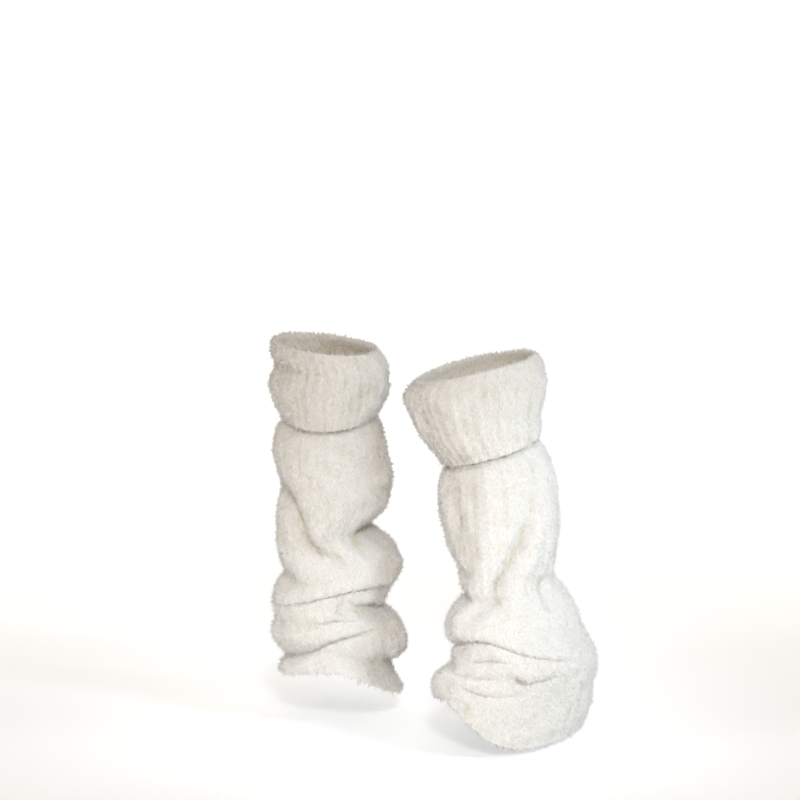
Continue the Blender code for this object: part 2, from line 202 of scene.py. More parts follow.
# %% Folds of the left leg warmer
LEFT_CUFF_FOLDS = (
    Fold("front ridge",   ((-28, -22), (-24, -70), (-18, -126)),        -3, 14, 2),
    Fold("left hollow",   ((-62, -34), (-58, -75), (-50, -116)),         3, 14, 2),
    Fold("right hollow",  ((52, -14), (56, -52), (54, -96)),            3, 12, 2),
    Fold("heel hollow",   ((148, -12), (154, -58), (150, -104)),         3, 13, 2),
    Fold("heel ridge",    ((205, -28), (208, -70), (203, -124)),        -3, 13, 2),
)

LEFT_LEG_FOLDS = (
    Fold("shin ridge",    ((-16, -126), (-13, -173), (-20, -247), (-46, -300), (-44, -340)), -5, 13, 2),
    Fold("side hollow",   ((-50, -150), (-50, -200), (-58, -250)),       5, 16, 2),
    Fold("shin groove",   ((54, -116), (40, -160), (36, -194)),          4, 8, 2),
    Fold("shin trough",   ((38, -186), (22, -226), (4, -262), (-12, -296), (-34, -322)), 12, 11, 2),
    Fold("shin swell",    ((46, -225), (26, -268), (6, -312)),          -5, 12, 2),
    Fold("flare hollow",  ((70, -278), (60, -294), (50, -316)),          8, 11, 2),
    Fold("crease 1",      ((-94, -368), (-56, -352), (-34, -345), (-12, -343), (22, -361), (60, -379)),
         13, 6.5, 1.3),
    Fold("roll 1",        ((-70, -372), (-40, -366), (-26, -358)),      -3, 8, 2),
    Fold("crease 2",      ((-92, -394), (-58, -380), (-34, -386), (0, -388)), 12, 6.5, 1.3),
    Fold("crease 3",      ((-28, -369), (-10, -365), (2, -367)),         7, 5, 1.3),
    Fold("roll 2",        ((-8, -377), (24, -376), (50, -386)),         -4, 9, 2),
    Fold("crease 4",      ((10, -384), (21, -395), (44, -391)),         11, 6, 1.3),
    Fold("crease 5",      ((-24, -398), (-4, -408), (24, -410)),         7, 5, 1.3),
    Fold("heel trough",   ((140, -196), (168, -240), (206, -286)),      14, 14, 2),
    Fold("heel swell",    ((206, -200), (216, -240), (240, -280)),      -5, 14, 2),
    Fold("back crease 1", ((96, -352), (150, -340), (205, -346), (262, -364)), 13, 7, 1.3),
    Fold("back roll",     ((120, -364), (180, -358), (220, -364)),      -4, 9, 2),
    Fold("back crease 2", ((110, -384), (160, -376), (204, -384)),      11, 6, 1.3),
    Fold("back crease 3", ((150, -412), (200, -402), (256, -396)),      12, 6.5, 1.3),
    Fold("back crease 4", ((98, -424), (132, -432), (170, -428)),        9, 6, 1.3),
    Fold("back crease 5", ((196, -436), (220, -430), (246, -434)),       7, 6, 1.3),
)

# %% [markdown]
# ## From tables to a smooth skin
# A curve through the rows gives as many rings as the cloth needs. The upper tube is calm, so its
# rings can be further apart. In the slouch they come closer, because a crease is only a few
# millimetres wide. A subdivision surface would smooth the rows as well, but it would also melt the
# creases away.

# %% Smooth curve through rows
FINE_STEPS = 40            # steps from one row to the next when a length is measured


def smooth_curve(points, places):
    """Reads a smooth curve through the points at places, where 1.5 is half way from point 1 to 2."""
    points, places = np.asarray(points, float), np.asarray(places, float)
    last = len(points) - 1
    start = np.minimum(places.astype(int), last - 1)
    t = (places - start)[:, None]
    before, here = points[np.maximum(start - 1, 0)], points[start]
    there, after = points[start + 1], points[np.minimum(start + 2, last)]
    return 0.5 * (2 * here + (there - before) * t
                  + (2 * before - 5 * here + 4 * there - after) * t ** 2
                  + (3 * here - before - 3 * there + after) * t ** 3)


def ring_places(table, spacings):
    """Places along the rows, as close together as the spacing at each row asks, in millimetres."""
    last = len(table) - 1
    fine = np.linspace(0, last, FINE_STEPS * last + 1)
    steps = np.diff(smooth_curve(table, fine), axis=0)
    travel = np.mean([np.hypot(steps[:, side], steps[:, side + 1]) for side in (0, 2, 4, 6)], axis=0)
    pace = np.interp(fine[:-1], range(last + 1), spacings)
    rings = np.concatenate([[0], np.cumsum(travel / pace)])
    return np.interp(np.linspace(0, rings[-1], int(rings[-1]) + 1), rings, fine)


def section_points(rows, angles, inset, lift):
    """Points on the rings of these rows. Inset moves a point inwards, and lift moves it up."""
    left, z_left, right, z_right, front, z_front, back, z_back, skew = rows.T[:, :, None]
    half_width = np.sqrt(((right - left) / 2 - inset) ** 2 - skew ** 2)
    half_depth = (back - front) / 2 - inset
    x = (left + right) / 2 + half_width * np.sin(angles) + skew * np.cos(angles)
    y = (front + back) / 2 - half_depth * np.cos(angles)
    z = ((z_left + z_right + z_front + z_back) / 4
         + (z_front + z_back - z_left - z_right) / 4 * np.cos(2 * angles)
         + (z_right - z_left) / 2 * np.sin(angles)
         + (z_front - z_back) / 2 * np.cos(angles) + lift)
    return np.stack([x, y, z], axis=-1)


# %% [markdown]
# ## Creases that close
# Where a thick knit is pushed down, a crease is a thin dark line: the roll above sinks over it, and
# the cloth below is pushed up against it. So a sharp fold does three things. It cuts a narrow valley,
# it swells the roll above, and it brings both banks together. A soft trough only pushes the cloth in.
# A cloth simulation would find such creases by itself, but not in the places where this pair has them.

# %% Folds on the unrolled tube
PATH_STEPS = 12        # steps along a fold's path from one of its points to the next
FOLD_FADE = 0.2        # share of a fold's length in which it fades out at each end
SOFT_EDGE = 2          # the edge of a soft fold in the tables, and a lower number is a sharp crease
CREASE_SHARE = 0.48    # depth that still shows once the pile has filled the crease
VALLEY_SHARE = 0.42    # width of the visible valley, against the solid's crease
SWELL_SHARE = 0.38     # how far the roll above stands out, against the crease's depth
SWELL_PLACE = 1.5      # how far above the crease it does so, in widths of the crease
BANK_FALL = 0.52       # how far the roll above sinks over the crease, against its depth
BANK_RISE = 0.16       # how far the cloth below is pushed up
BANK_PLACE = 0.8       # how far from the crease the banks move, in widths of the crease


def fold_shape(folds, angles, points):
    """How far the folds push the cloth in at each point, and how far they move it up."""
    heights = points[:, :, 2]
    girth_radius = np.ptp(points[:, :, 0], axis=1).mean() / 2
    pushed, moved = np.zeros_like(heights), np.zeros_like(heights)
    for fold in folds:
        steps = np.linspace(0, len(fold.path) - 1, PATH_STEPS * (len(fold.path) - 1) + 1)
        path = smooth_curve(fold.path, steps)
        turn = np.degrees(angles)[None, :, None] - path[:, 0]
        turn = (turn + 180) % 360 - 180
        gaps = np.hypot(np.radians(turn) * girth_radius, heights[:, :, None] - path[:, 1])
        nearest = gaps.argmin(axis=2)
        gap = gaps.min(axis=2)
        along = nearest / (len(path) - 1)
        fade = np.clip(np.minimum(along, 1 - along) / (FOLD_FADE * fold.edge), 0, 1)
        depth = fold.depth * fade * (2 - fade)
        if fold.edge == SOFT_EDGE:
            pushed += depth * np.exp(-(gap / fold.width) ** 2)
            continue
        depth *= CREASE_SHARE
        above = np.sign(heights - path[nearest, 1]) * gap
        pushed += depth * np.exp(-(gap / (VALLEY_SHARE * fold.width)) ** fold.edge)
        pushed -= SWELL_SHARE * depth * np.exp(-((above - SWELL_PLACE * fold.width) / fold.width) ** 2)
        moved -= BANK_FALL * depth * np.exp(-((above - BANK_PLACE * fold.width) / fold.width) ** 2)
        moved += BANK_RISE * depth * np.exp(-((above + BANK_PLACE * fold.width) / fold.width) ** 2)
    return pushed, moved


# %% [markdown]
# ## Ribs, wales and uneven cloth
# The tube is knitted in ribs about 13 mm apart, and each rib is two columns of stitches wide. Worn
# plush is never even, so a slow seeded unevenness is laid over it. A noise by angle and height would
# do that too, but it has a seam where the angle starts again. A sum of waves closes round the tube.

# %% Relief of the knit
RIB_SHOWN = 0.62       # share of a rib that still shows once the pile has filled the grooves
WALE_HEIGHT = 0.2      # from the line between two columns of stitches to their crest
LUMP_SIZE = 34         # millimetres from one soft lump to the next
LUMP_HEIGHT = 0.7
WAVES = 28
WAVE_SPREAD = (0.7, 1.5)    # the shortest and the longest wave, against the size asked for
TUBE_RADIUS = 75       # millimetres, on which that size is measured


def rib_relief(angles):
    """How far the knit stands out: ribs, and the two columns of stitches on each."""
    ribs = RIB_SHOWN * RIB_HEIGHT / 2 * np.cos(RIB_COUNT * angles)
    return ribs + WALE_HEIGHT / 2 * np.cos(2 * RIB_COUNT * angles)


def uneven(angles, heights, size, seed, stretch=1):
    """A smooth random field about 1 high, with lumps of this size in millimetres."""
    random = np.random.default_rng(seed)
    field = np.zeros(np.broadcast(angles, heights).shape)
    for _ in range(WAVES):
        course = random.uniform(0, math.tau)
        pitch = size * random.uniform(*WAVE_SPREAD)
        round_tube = np.round(math.tau * TUBE_RADIUS / pitch * math.cos(course))
        up_tube = math.tau / pitch / stretch * math.sin(course)
        field += np.cos(round_tube * angles + up_tube * heights + random.uniform(0, math.tau))
    return field / math.sqrt(WAVES / 2)


def instep_lift(instep, angles, share):
    """The hem's rise over the instep. Share is 0 where the slouch starts and 1 at the hem."""
    turn = (np.degrees(angles) - instep.angle + 180) % 360 - 180
    return instep.rise * share[:, None] ** 2 * np.exp(-(turn / instep.spread) ** 2)


# %% [markdown]
# ## The knitted wall
# The ground of the fabric is a wall two millimetres thick, and the pile fills the rest of the
# solid's four millimetres outside it. The wall is one closed mesh: an outer skin, an inner skin with
# half as many columns, and a rounded rim at the hem. A third skin, with twice as many columns, isn't
# drawn: the pile is planted on it. A Solidify modifier would make the wall of a flat cloth, but in a
# tight crease its offset skins cross.

# %% Mesh of a wall
COLUMNS = 4 * RIB_COUNT     # points round the outer skin of the wall
PILE_COLUMNS = 8 * RIB_COUNT    # points round the finer skin that the pile is planted on
PILE_DEPTH = 2.2            # from the solid's outer face to the knitted ground
GROUND = 2.0                # thickness of the ground
INNER_RELIEF = 0.6          # share of the ribs that shows on the inner face
RIM_STEPS = 3


def column_angles(columns):
    return np.arange(columns) * math.tau / columns


def link(name, mesh):
    piece = bpy.data.objects.new(name, mesh)
    bpy.context.scene.collection.objects.link(piece)
    return piece


def grid_faces(first, rings, columns, flipped):
    """Quads between rings of points, as index rows. A column's neighbour closes round the tube."""
    ring, column = np.meshgrid(np.arange(rings - 1), np.arange(columns), indexing="ij")
    here = first + ring * columns + column
    beside = first + ring * columns + (column + 1) % columns
    quads = np.stack([here, here + columns, beside + columns, beside], axis=-1).reshape(-1, 4)
    return quads[:, ::-1] if flipped else quads


def rim_faces(first_outer, first_inner, columns, flipped):
    """Triangles that join a ring to an inner ring with half as many points."""
    inside = np.arange(columns // 2)
    crest, groove = first_outer + 2 * inside, first_outer + 2 * inside + 1
    next_crest = first_outer + (2 * inside + 2) % columns
    near, far = first_inner + inside, first_inner + (inside + 1) % (columns // 2)
    faces = np.concatenate([np.stack(three, axis=-1) for three in
                            ((crest, groove, near), (groove, far, near), (groove, next_crest, far))])
    return faces[:, ::-1] if flipped else faces


def closed_wall(name, outer, inner):
    """One closed mesh from rings of an outer skin, and rings of an inner one."""
    rings, columns = outer.shape[:2]
    inner_rings = len(inner)
    first_inner = rings * columns
    last_outer, last_inner = (rings - 1) * columns, first_inner + (inner_rings - 1) * (columns // 2)
    points = np.concatenate([outer.reshape(-1, 3), inner.reshape(-1, 3)]) * MM
    faces = (grid_faces(0, rings, columns, False).tolist()
             + grid_faces(first_inner, inner_rings, columns // 2, True).tolist()
             + rim_faces(0, first_inner, columns, False).tolist()
             + rim_faces(last_outer, last_inner, columns, True).tolist())
    mesh = bpy.data.meshes.new(name)
    mesh.from_pydata(points.tolist(), [], faces)
    mesh.update()
    mesh.shade_smooth()
    return link(name, mesh)


# %% Rings of a skin
def skin_rings(rows, angles, inset, lift, rim):
    """A skin's rings and, where it has a rim, the rounded end that joins it to the inner skin."""
    rings = [section_points(rows, angles, inset, lift)]
    for turn in np.linspace(0, math.pi, RIM_STEPS + 2)[1:-1] if rim else ():
        rings.append(section_points(rows[-1:], angles, inset[-1:] + GROUND / 2 * (1 - math.cos(turn)),
                                    lift[-1:] - GROUND / 2 * math.sin(turn)))
    return np.concatenate(rings)


def three_skins(skin):
    """The outer skin, the inner one, and the finer one that carries the pile."""
    return (skin(COLUMNS, 0, 1, True), skin(COLUMNS // 2, GROUND, INNER_RELIEF, False),
            skin(PILE_COLUMNS, 0, 1, True))


# %% [markdown]
# ## The tube
# Below the cuff the tube is calm, and further down it lies in rolls. Its wall starts inside the
# mouth, a little way into the cuff's own wall, because both are one cloth. The rings are closer
# together in the slouch. A bridge between two meshes would join them as well, but then the cuff and
# the tube could not each stand for their own solid.

# %% The tube below the cuff
UNDER_CUFF_SPACING, TUBE_SPACING, SLOUCH_SPACING = 4.0, 2.3, 1.5    # millimetres from ring to ring
SEAM_OVERLAP = 2.0       # how far the tube's wall runs on inside the cuff's
SEAM_STEP = 0.3          # and how far it stands off the middle of that wall


def seam_section(fold):
    """The top of the tube, inside the mouth, where it runs on into the end of the cuff."""
    inset, drop = 2 * ROLL_RADIUS - SEAM_STEP, SEAM_DROP - SEAM_OVERLAP
    return Section("top edge", fold.left + inset, fold.z_left - drop, fold.right - inset,
                   fold.z_right - drop, fold.front + inset, fold.z_front - drop,
                   fold.back - inset, fold.z_back - drop, fold.skew)


def leg_skins(cuff_sections, sections, folds, instep, slouch_start, seed):
    """The three skins of the tube, from the mouth to the hem."""
    sections = (seam_section(cuff_sections[0]),) + sections
    names = [section.name for section in sections]
    start, last = names.index(slouch_start), len(sections) - 1
    spacings = ([UNDER_CUFF_SPACING] * 2 + [TUBE_SPACING] * (start - 2)
                + [SLOUCH_SPACING] * (last - start + 1))
    table = [section[1:] for section in sections]
    places = ring_places(table, spacings)
    rows = smooth_curve(table, places)
    share = np.clip((places - start) / (last - start), 0, 1)
    settled = np.minimum(places, 1)[:, None]

    def skin(columns, wall, relief_share, rim):
        angles = column_angles(columns)
        lift = instep_lift(instep, angles, share)
        flat = section_points(rows, angles, 0, lift)
        pushed, moved = fold_shape(folds, angles, flat)
        soft = LUMP_HEIGHT * uneven(angles, flat[:, :, 2], LUMP_SIZE, seed)
        relief = settled * (relief_share * rib_relief(angles) + soft)
        # In the mouth the pile side faces inwards, so the ground moves over to the other face there.
        ground = PILE_DEPTH - (2 * PILE_DEPTH - GROUND) * (1 - settled)
        return skin_rings(rows, angles, wall + ground + pushed - relief, lift + moved, rim)

    return three_skins(skin)


# %% [markdown]
# ## The turned-down cuff
# The top of the tube is turned down outside, so the cuff shows the cloth's other face. Its rings go
# up inside the mouth, over a soft roll, and down to the edge. A Bend modifier could turn a flat band
# over, but the slant of the mouth would be lost, so the roll is drawn by angle on the mouth's ring.

# %% Skins of the cuff
CUFF_RIB_SHARE = 1.5       # the cuff shows the ribs' other side, which stands out more
ROLL_TURNS = 10            # steps over the roll
INSIDE_RINGS = 3           # rings inside the mouth, below the roll
CUFF_SPACING = 1.9


def cuff_skins(sections, folds, seed):
    """The three skins of the cuff: up inside the mouth, over the roll and down to its edge."""
    table = np.array([section[1:] for section in sections], float)
    over = np.linspace(math.pi, 0, ROLL_TURNS + 1)
    down = ring_places(table, [CUFF_SPACING] * len(table))[1:]
    inside = np.linspace(SEAM_DROP, 0, INSIDE_RINGS + 1)[:-1]
    rows = np.concatenate([np.repeat(table[:1], len(inside) + len(over), axis=0),
                           smooth_curve(table, down)])
    turn = np.concatenate([np.full(len(inside), math.pi), over, np.zeros(len(down))])[:, None]
    drop = np.concatenate([inside, np.zeros(len(over) + len(down))])[:, None]
    settled = np.clip(np.arange(len(rows)) / (len(inside) + len(over) - 1), 0, 1)[:, None]
    outer_radius = ROLL_RADIUS + WALL / 2

    def skin(columns, wall, relief_share, rim):
        angles = column_angles(columns)
        relief_share = CUFF_RIB_SHARE * relief_share
        reach = outer_radius - PILE_DEPTH - wall + relief_share * settled * rib_relief(angles)
        inset = outer_radius - reach * np.cos(turn)
        lift = reach * np.sin(turn) - drop
        flat = section_points(rows, angles, inset, lift)
        pushed, moved = fold_shape(folds, angles, flat)
        soft = LUMP_HEIGHT * uneven(angles, flat[:, :, 2], LUMP_SIZE, seed)
        inset, lift = inset + settled * (pushed - soft), lift + settled * moved
        return skin_rings(rows, angles, inset, lift, rim)

    return three_skins(skin)


# %% Make the four walls
SKINS = {
    "right_leg": leg_skins(RIGHT_CUFF, RIGHT_LEG, RIGHT_LEG_FOLDS, RIGHT_INSTEP, "bulge", 11),
    "right_cuff": cuff_skins(RIGHT_CUFF, RIGHT_CUFF_FOLDS, 12),
    "left_leg": leg_skins(LEFT_CUFF, LEFT_LEG, LEFT_LEG_FOLDS, LEFT_INSTEP, "over notch", 13),
    "left_cuff": cuff_skins(LEFT_CUFF, LEFT_CUFF_FOLDS, 14),
}
CLOTH = {name: closed_wall(name + "_cloth", outer, inner)
         for name, (outer, inner, _) in SKINS.items()}
for name, cloth in CLOTH.items():
    cloth.data.calc_loop_triangles()
    print(cloth.name, len(cloth.data.loop_triangles), "triangles")

# %% [markdown]
# ## The pile
# Plush yarn carries thousands of short fibre ends that stand off the ground and lean together in
# small tufts. Hair curves would draw them, but they leave no mesh behind. So each tuft is a closed
# spike of four faces. Two coats of them are scattered by area, so that a stretched place is covered
# as well as a tight one: short tufts make the nap, and longer and thinner fibres blur the outline.
# They lean by a slow random field, a little downwards, as brushed pile does.

# %% The two coats
Coat = namedtuple("Coat", "per_cm2 length width root lean_down lean_clump lean_random")
TUFTS = Coat(21, 4.1, 1.4, 0.8, 0.3, 0.3, 0.5)
FIBRES = Coat(12, 7.6, 0.9, 0.5, 0.2, 0.3, 0.55)
LENGTH_SPREAD, WIDTH_SPREAD = (0.6, 1.25), (0.8, 1.25)     # of single tufts, against the coat's
LEAST_RISE = 0.35          # how far even the flattest tuft stands off the cloth
CLUMP_SIZE, CLUMP_STRETCH = 4, 3      # millimetres that lean together, and how much longer upwards
EDGE_LONGER, EDGE_RINGS = 0.4, 3      # tufts grow longer at a cut edge, over so many rings
print("tufts", TUFTS, "fibres", FIBRES)

# %% Where the tufts stand
HOLLOW_RINGS, HOLLOW_COLUMNS = 3, 4   # how far round a point the cloth is averaged
HOLLOW_DEPTH = 0.95        # millimetres below that average which count as a full hollow


def grid_normals(grid):
    """The direction that each point of a closed band of rings faces."""
    down = np.gradient(grid, axis=0)
    across = np.roll(grid, -1, axis=1) - np.roll(grid, 1, axis=1)
    normals = np.cross(down, across)
    return normals / np.linalg.norm(normals, axis=-1, keepdims=True)


# painted shade: this hollow sets how much yellow crease shade is painted into the pile's colour
def hollow(grid):
    """How deep each point lies in a crease or between ribs, from 0 to 1, against the cloth near it."""
    reach = range(-HOLLOW_RINGS, HOLLOW_RINGS + 1)
    rings = np.arange(len(grid))
    around = sum(grid[np.clip(rings + turn, 0, len(grid) - 1)] for turn in reach) / len(reach)
    reach = range(-HOLLOW_COLUMNS, HOLLOW_COLUMNS + 1)
    around = sum(np.roll(around, turn, axis=1) for turn in reach) / len(reach)
    return np.clip(((around - grid) * grid_normals(grid)).sum(axis=-1) / HOLLOW_DEPTH, 0, 1) ** 2


def scatter(grid, weights, per_cm2, seed):
    """Random places on a band, evenly by area: point, normal, way down, angle, hollow and length."""
    random = np.random.default_rng(seed)
    rings, columns = grid.shape[:2]
    right, below = np.roll(grid, -1, axis=1), grid[1:]
    areas = np.linalg.norm(np.cross(right[:-1] - grid[:-1], below - grid[:-1]), axis=-1)
    areas = areas * weights[:-1, None]
    count = int(areas.sum() / 100 * per_cm2)
    cells = np.searchsorted(np.cumsum(areas), random.uniform(0, areas.sum(), count))
    ring, column = np.minimum(cells // columns, rings - 2), cells % columns
    u, v = random.uniform(0, 1, (2, count, 1))
    normals = grid_normals(grid)

    def read(values):
        ahead = (column + 1) % columns
        return ((values[ring, column] * (1 - u) + values[ring, ahead] * u) * (1 - v)
                + (values[ring + 1, column] * (1 - u) + values[ring + 1, ahead] * u) * v)

    down = grid[ring + 1, column] - grid[ring, column]
    down /= np.linalg.norm(down, axis=-1, keepdims=True)
    angle = (column + u[:, 0]) * math.tau / columns
    longer = 1 + EDGE_LONGER * np.exp((ring[:, None] + 1 - rings) / EDGE_RINGS)
    return read(grid), read(normals), down, angle, read(hollow(grid)[:, :, None]), longer


# %% Mesh of the tufts
SOFT_SHADE = 0.45          # share of the ground's own normal in a tuft's shading


def pile(name, coat, places, seed):
    """One mesh of closed spikes, each with the shading of the cloth under it."""
    points, normals, down, angle, hollows, longer = places
    random = np.random.default_rng(seed)
    count = len(points)
    normals = normals / np.linalg.norm(normals, axis=-1, keepdims=True)
    across = np.cross(normals, down)
    clump = [uneven(angle, points[:, 2], CLUMP_SIZE, seed + shift, CLUMP_STRETCH)[:, None]
             for shift in (1, 2)]
    lean = (normals + down * (coat.lean_down + coat.lean_clump * clump[0])
            + across * coat.lean_clump * clump[1] + coat.lean_random * random.normal(0, 1, (count, 3)))
    outward = (lean * normals).sum(axis=-1, keepdims=True)
    lean += normals * np.maximum(LEAST_RISE - outward, 0)
    lean /= np.linalg.norm(lean, axis=-1, keepdims=True)
    side = np.cross(lean, random.normal(0, 1, (count, 3)))
    side /= np.linalg.norm(side, axis=-1, keepdims=True)
    other = np.cross(lean, side)
    length = coat.length * longer * random.uniform(*LENGTH_SPREAD, (count, 1))
    radius = coat.width / 2 * random.uniform(*WIDTH_SPREAD, (count, 1))
    corners = [points + (side * math.cos(turn) + other * math.sin(turn)) * radius - lean * coat.root
               for turn in (0, math.tau / 3, -math.tau / 3)]
    vertices = np.stack(corners + [points + lean * length], axis=1)
    vertices[:, :, 2] = np.maximum(vertices[:, :, 2], FLOOR_HEIGHT / MM)
    shades = np.stack([(corner - points) * (1 - SOFT_SHADE) + normals * SOFT_SHADE for corner in corners]
                      + [normals * SOFT_SHADE + lean * (1 - SOFT_SHADE)], axis=1)
    spike = np.array([[0, 1, 3], [1, 2, 3], [2, 0, 3], [0, 2, 1]])
    faces = (np.arange(count)[:, None, None] * 4 + spike).reshape(-1, 3)

    mesh = bpy.data.meshes.new(name)
    mesh.vertices.add(4 * count)
    mesh.vertices.foreach_set("co", (vertices.reshape(-1) * MM).astype(np.float32))
    mesh.loops.add(faces.size)
    mesh.loops.foreach_set("vertex_index", faces.reshape(-1).astype(np.int32))
    mesh.polygons.add(len(faces))
    mesh.polygons.foreach_set("loop_start", np.arange(0, faces.size, 3, dtype=np.int32))
    mesh.update(calc_edges=True)
    mesh.shade_smooth()
    shades = shades.reshape(-1, 3)
    shades /= np.linalg.norm(shades, axis=-1, keepdims=True)
    mesh.normals_split_custom_set_from_vertices(shades.tolist())
    # painted shade: each tuft carries its hollow, which weights the yellow shade painted into its colour
    painted_shade_weights = mesh.attributes.new("hollow", "FLOAT", "POINT").data
    painted_shade_weights.foreach_set("value", np.repeat(hollows, 4).astype(np.float32))
    print(name, count, "tufts")
    return link(name, mesh)


MOST_IN_PIECE = 45000      # tufts, each of four triangles, so that no piece grows too heavy


def piles(name, coat, grid, weights, density, seed):
    """A coat over a band, dealt out in turn to as many pieces as keep each one light."""
    places = scatter(grid, weights, coat.per_cm2 * density, seed)
    pieces = math.ceil(len(places[0]) / MOST_IN_PIECE)
    return [pile(f"{name}_{turn + 1}", coat, [each[turn::pieces] for each in places], seed + turn)
            for turn in range(pieces)]


# %% Grow the pile
PILE_TOP = {"right_leg": -80, "left_leg": -98}      # higher up, the tube is hidden by its cuff
INSIDE_DEPTH = 60          # how far down the mouth the inner face carries pile
INSIDE_DENSITY = 0.8       # the inner face is worn flatter, and less of it shows
FIRST_SEED, FIBRE_SEED, INSIDE_SEED = 40, 10, 20    # the last two are added to a piece's own seed
PILE = {}
for seed, (name, (_, inner, skin)) in enumerate(SKINS.items(), start=FIRST_SEED):
    heights = skin[:, :, 2].mean(axis=1)
    shown = (heights < PILE_TOP.get(name, math.inf)).astype(float)
    PILE[name] = (piles(name + "_tufts", TUFTS, skin, shown, 1, seed)
                  + piles(name + "_fibres", FIBRES, skin, shown, 1, seed + FIBRE_SEED))
    if name.endswith("leg"):
        heights = inner[:, :, 2].mean(axis=1)
        shown = (heights > heights[0] - INSIDE_DEPTH).astype(float)
        PILE[name] += piles(name + "_lining_tufts", TUFTS, inner[:, ::-1], shown, INSIDE_DENSITY,
                            seed + INSIDE_SEED)

# %% [markdown]
# ## Colour and finish
# The yarn is undyed cream polyester, cut and brushed into a plush. It scatters nearly all light, so
# its shadows stay bright. Deep in a crease, light has gone from yarn to yarn and comes out a little
# yellow. Light scattered inside the yarn would show that too, but it is slow to render and gets lost
# in the export. So that yellow shade is painted: the pile is tinted by how hollow the place is where
# it stands, in creases and between ribs. A soft sheen stands on its edges, as it does on any pile
# seen sideways.

# %% Material helpers
def linear(colour):
    """An sRGB hex colour as the linear values that a shader works in."""
    channels = [int(colour[i:i + 2], 16) / 255 for i in (1, 3, 5)]
    return (*[c / 12.92 if c <= 0.04045 else ((c + 0.055) / 1.055) ** 2.4 for c in channels], 1)


def add(tree, kind, links=(), **settings):
    """Adds a node. Settings name its inputs or its properties, and links are (input, socket)."""
    node = tree.nodes.new(kind)
    for key, value in settings.items():
        socket = node.inputs.get(key.replace("_", " "))
        if socket is not None and not hasattr(node, key):
            socket.default_value = value
        else:
            setattr(node, key, value)
    for name, socket in links:
        tree.links.new(node.inputs[name], socket)
    return node


def bare_material(name):
    material = bpy.data.materials.new(name)
    material.use_nodes = True
    material.node_tree.nodes.clear()
    return material, material.node_tree


# %% Plush polyester yarn
YARN_LIGHT, YARN_DARK = "#F9F8F6", "#E7E2D8"       # a brushed fibre end, and one that lies flat
GROUND_LIGHT, GROUND_DARK = "#F8F5F0", "#E6E0D4"   # the knitted ground between them, painted a little darker and warmer as the pile's shade on it
PAINTED_CREASE_SHADE = "#E6DBBC"       # painted shade: the yellow of light gone from yarn to yarn, in creases and rib grooves
GRAIN_RAMP = (0.3, 0.62)    # noise values that are fully dark and fully light
GRAIN_STRETCH = 0.4         # the grain runs along the ribs, so it is read more slowly upwards
GROUND_GRAIN, PILE_GRAIN = 1.6, 2.0    # millimetres: a yarn, drawn coarser than it is so that it shows
GROUND_BUMP, PILE_BUMP = 0.8, 0.3      # millimetres


def plush_yarn(name, light, dark, grain_mm, bump_mm):
    """Brushed polyester plush: matt, nearly white, softly shining at its edges, and never even."""
    material, tree = bare_material(name)
    place = add(tree, "ShaderNodeTexCoord").outputs["Object"]
    drawn = add(tree, "ShaderNodeVectorMath", [(0, place)], operation="MULTIPLY")
    drawn.inputs[1].default_value = (1, 1, GRAIN_STRETCH)
    grain = add(tree, "ShaderNodeTexNoise", [("Vector", drawn.outputs["Vector"])],
                Scale=1000 / grain_mm, Detail=1, Roughness=0.7)
    ramp = add(tree, "ShaderNodeValToRGB", [("Fac", grain.outputs["Fac"])])
    for stop, position, tone in zip(ramp.color_ramp.elements, GRAIN_RAMP, (dark, light)):
        stop.position, stop.color = position, linear(tone)
    # painted shade: creases and rib grooves are tinted towards a yellow shade by the hollow attribute
    depth = add(tree, "ShaderNodeAttribute", attribute_name="hollow")
    shade_painted_colour = add(tree, "ShaderNodeMix", [(0, depth.outputs["Fac"]), (6, ramp.outputs["Color"])],
                 data_type="RGBA")
    shade_painted_colour.inputs[7].default_value = linear(PAINTED_CREASE_SHADE)
    bump = add(tree, "ShaderNodeBump", [("Height", grain.outputs["Fac"])], Strength=0.5,
               Distance=bump_mm * MM)
    shader = add(tree, "ShaderNodeBsdfPrincipled",
                 [("Base Color", shade_painted_colour.outputs[2]), ("Normal", bump.outputs["Normal"])],
                 Roughness=0.95, IOR=1.5, Sheen_Weight=0.4, Sheen_Roughness=0.5)
    shader.inputs["Specular IOR Level"].default_value = 0.2
    add(tree, "ShaderNodeOutputMaterial", [("Surface", shader.outputs["BSDF"])])
    return material


ground_yarn = plush_yarn("knitted_plush_ground", GROUND_LIGHT, GROUND_DARK, GROUND_GRAIN, GROUND_BUMP)
pile_yarn = plush_yarn("brushed_plush_pile", YARN_LIGHT, YARN_DARK, PILE_GRAIN, PILE_BUMP)
print("materials", ground_yarn.name, pile_yarn.name)

# %% [markdown]
# ## Dress the pieces
# Each cloth wall stands for its own solid, and its pile goes with it. The cloth throws the shadows,
# and a single tuft throws none: light goes through real fibre ends, and a hard shadow from every
# spike would turn the plush into stone. Much thinner spikes could keep their shadows and look soft
# too, but it would take millions of them.

# %% Materials, bodies and slots
for name, cloth in CLOTH.items():
    cloth.data.materials.append(ground_yarn)
    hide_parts(name)
    for tufts in PILE[name]:
        tufts.data.materials.append(pile_yarn)
        tufts.visible_shadow = False
    for piece in [cloth] + PILE[name]:
        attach(piece, "root")
    print(name, "is dressed with", 1 + len(PILE[name]), "pieces")
